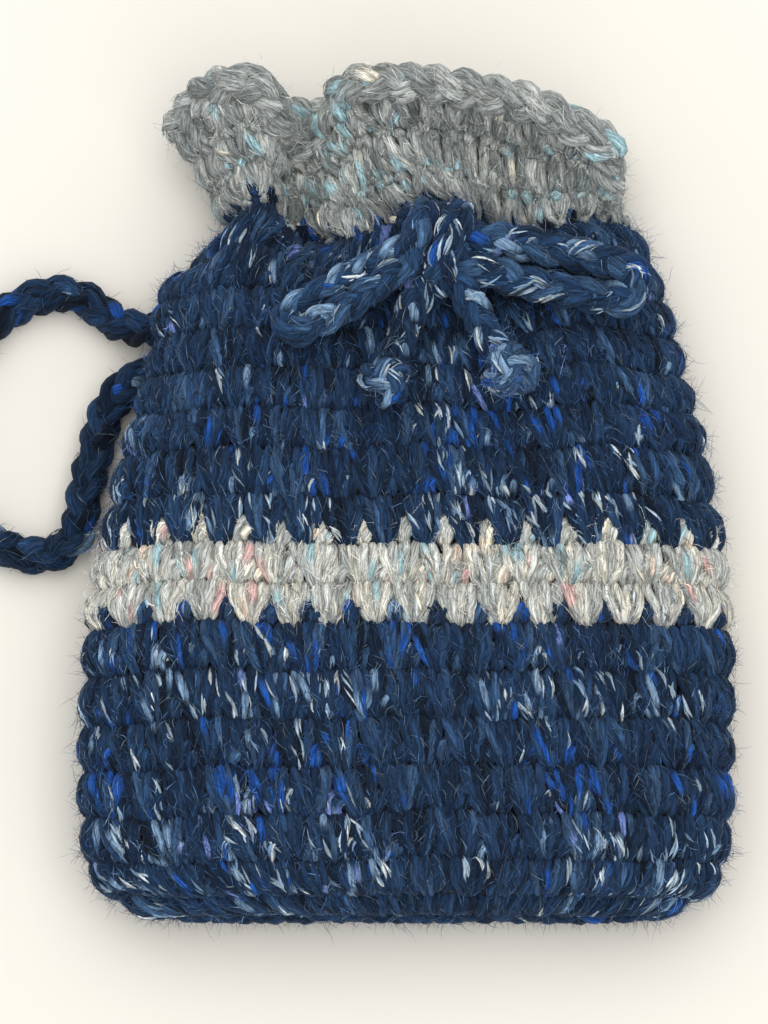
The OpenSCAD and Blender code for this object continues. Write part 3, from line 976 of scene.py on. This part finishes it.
def make_drawstring(surface):
    """The cord inside the eyelet round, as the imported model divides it."""
    middle_x = KNOT[0]
    for node, body in (("drawstring_back_run", "bag"), ("drawstring_front_right", "mouth_front"),
                       ("drawstring_front_left", "mouth_front")):
        turn = np.linspace(0, 1, 400, endpoint=False)
        round_at = np.full_like(turn, EYELETS + 0.5)
        points, normals, _ = surface.place(round_at, turn, np.full_like(turn, -WALL / 2))
        front = turn < 0.5
        if node == "drawstring_back_run":
            keep = ~front
        elif node == "drawstring_front_right":
            keep = front & (points[:, 0] > middle_x + 7)
        else:
            keep = front & (points[:, 0] < middle_x - 7)
        line, ups = points[keep][1:-1], normals[keep][1:-1]
        strands = Strands(81 + len(node))
        plait(strands, line, ups, 5.2, 4.4, BOW_YARN)
        piece = strands.mesh(node + "_yarn", BOW_WOOL, "bow_yarn")
        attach(piece, body)
        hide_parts(node)


# ---------------- the side cord

SIDE_D = 7.2
SIDE_Z = SIDE_D / 2 + 0.05
SIDE_ROUTE = [
    (-45, 33.3, 7.5), (-50, 33.8, 7), (-55, 35, 5), (-59, 37.8, SIDE_Z), (-63, 40.6, SIDE_Z),
    (-67.5, 41.5, SIDE_Z), (-72.5, 40.5, SIDE_Z), (-78, 37.3, SIDE_Z), (-83.5, 31.8, SIDE_Z),
    (-87.5, 24.8, SIDE_Z), (-89.5, 16.8, SIDE_Z), (-89.5, 8.8, SIDE_Z), (-87.3, 1.3, SIDE_Z),
    (-83, -4.7, SIDE_Z), (-77.5, -8.5, SIDE_Z), (-71.5, -9.9, SIDE_Z), (-66, -8.7, SIDE_Z),
    (-63, -4.7, SIDE_Z), (-62.2, 0.8, SIDE_Z), (-61, 6.3, SIDE_Z), (-59.7, 11.8, SIDE_Z),
    (-58.4, 16.8, SIDE_Z), (-55.8, 21.3, 4.2), (-52, 24.3, 5.8), (-47, 25.8, 7.5),
]


def make_side_cord():
    """The pull loop that leaves the bag at its left side and comes back beside it."""
    route = catmull(SIDE_ROUTE)
    strands = Strands(51)
    made = plait(strands, route, UP, SIDE_D, 6.2, CORD_YARN)
    piece = strands.mesh("side_cord_yarn", CORD_WOOL, "cord_yarn")
    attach(piece, "bag")
    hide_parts("side_cord")
    fuzz = grow_fuzz("side_cord_fuzz", made, CORD_FUZZ, CORD_WOOL, 52)
    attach(fuzz, "bag")


# ---------------- the whole bag


def hold(piece, row):
    """Rounds below the hinge ride on the bag; those above it stay where they are, their place baked into
    the mesh.
    """
    if row < SHOULDER:
        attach(piece, "bag")
    else:
        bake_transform(piece)


def nodes_of(row):
    if row < LOWER:
        return ["base_seam"]
    if row < STRIPE:
        return ["lower_body"]
    if row < UPPER:
        return ["stripe_band"]
    if row < SHOULDER:
        return ["upper_body"]
    if row < EYELETS:
        return ["shoulder_back", "shoulder_front"]
    if row < COLLAR:
        return ["eyelet_posts_back", "eyelet_posts_front"]
    if row < COLLAR + 1:
        return ["neck_round_back", "neck_round_front"]
    return ["collar_back", "collar_front"]


def round_name(row):
    for start, name in ((COLLAR, "collar"), (EYELETS, "eyelet"), (SHOULDER, "shoulder"), (UPPER, "upper"),
                        (STRIPE, "stripe"), (LOWER, "lower"), (BASE, "base")):
        if row >= start:
            return f"{name}_round_{row - start + 1}"


def make_bag():
    surface = Surface()
    for row in range(RIM):
        material, slot = (GREY_WOOL, "grey_yarn") if is_grey(row) else (NAVY_WOOL, "navy_yarn")
        inside = row >= EYELETS - 1
        piece, made = make_round(surface, row, round_name(row), material, slot, inside)
        hold(piece, row)
        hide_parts(*nodes_of(row))
        fuzz = grow_fuzz(round_name(row) + "_fuzz", made, BODY_FUZZ, material, 200 + row)
        hold(fuzz, row)
    make_rim(surface)
    make_seam(surface)
    # The backings are darker than their yarn: painted shade that shows in the gaps between the stitches
    navy, grey = srgb("0c1828"), srgb("6d7070")
    backings = (
        (0.45, SHOULDER + 0.5, 3.2, WALL, "bag_inside", NAVY_WOOL, "navy_yarn", navy, True, 0),
        (SHOULDER - 0.4, COLLAR - 0.1, 3.3, WALL - 0.5, "neck_inside", NAVY_WOOL, "navy_yarn", navy, False,
         SHOULDER),
        (COLLAR - 0.1, RIM - 0.1, 2.7, WALL - 1.9, "collar_inside", GREY_WOOL, "grey_yarn", grey, False,
         COLLAR),
    )
    for start, end, outer, inner, name, material, slot, colour, capped, row in backings:
        piece = make_backing(surface, start, end, outer, inner, name, material, colour, capped)
        hold(piece, row)
    make_drawstring(surface)


def make_rim(surface):
    """The chain that finishes the collar, all the way round its edge."""
    count = 500
    turn = np.arange(count) / count
    line, normals, _ = surface.place(np.full(count, RIM + 0.05), turn, np.full(count, -2.2))
    strands = Strands(31)
    made = plait(strands, line, normals, 8.0, 6.4, COLLAR_YARN, closed=True, link=5.8)
    piece = strands.mesh("rim_chain_yarn", GREY_WOOL, "grey_yarn")
    hold(piece, RIM)
    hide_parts("rim_chain_back", "rim_chain_front")
    fuzz = grow_fuzz("rim_chain_fuzz", made, RIM_FUZZ, GREY_WOOL, 32)
    hold(fuzz, RIM)


def make_seam(surface):
    """The chain that the bag was started from, along the middle of its base."""
    count = 120
    turn = np.linspace(0.02, 0.48, count)
    front, _, _ = surface.place(np.zeros(count), turn, np.full(count, -1.0))
    back, _, _ = surface.place(np.zeros(count), 1 - turn, np.full(count, -1.0))
    line = (front + back) / 2
    line[:, 1] += 1.2
    strands = Strands(33)
    plait(strands, line, DOWN_THE_BAG, 6.6, 5.0, navy_yarn(0.12, 0.04, 0.04))
    piece = strands.mesh("base_chain", NAVY_WOOL, "navy_yarn")
    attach(piece, "bag")


make_camera()
make_side_cord()
make_studio()
make_bag()
make_knot()
make_loop("left_loop", "bow_loop_left", "left_loop", 210.5, 34.5, 2.5, 6.0, 4.8, 0.9, 61)
make_loop("right_loop", "bow_loop_right", "right_loop", -11.5, 43.5, 3.5, 6.8, 5.4, 0.0, 63)
make_tail("left_tail", "tail_left", "tail_knot_left", "left_tail", BOW_YARN, 65)
make_tail("right_tail", "tail_right", "tail_knot_right", "right_tail", KNOT_YARN, 68)
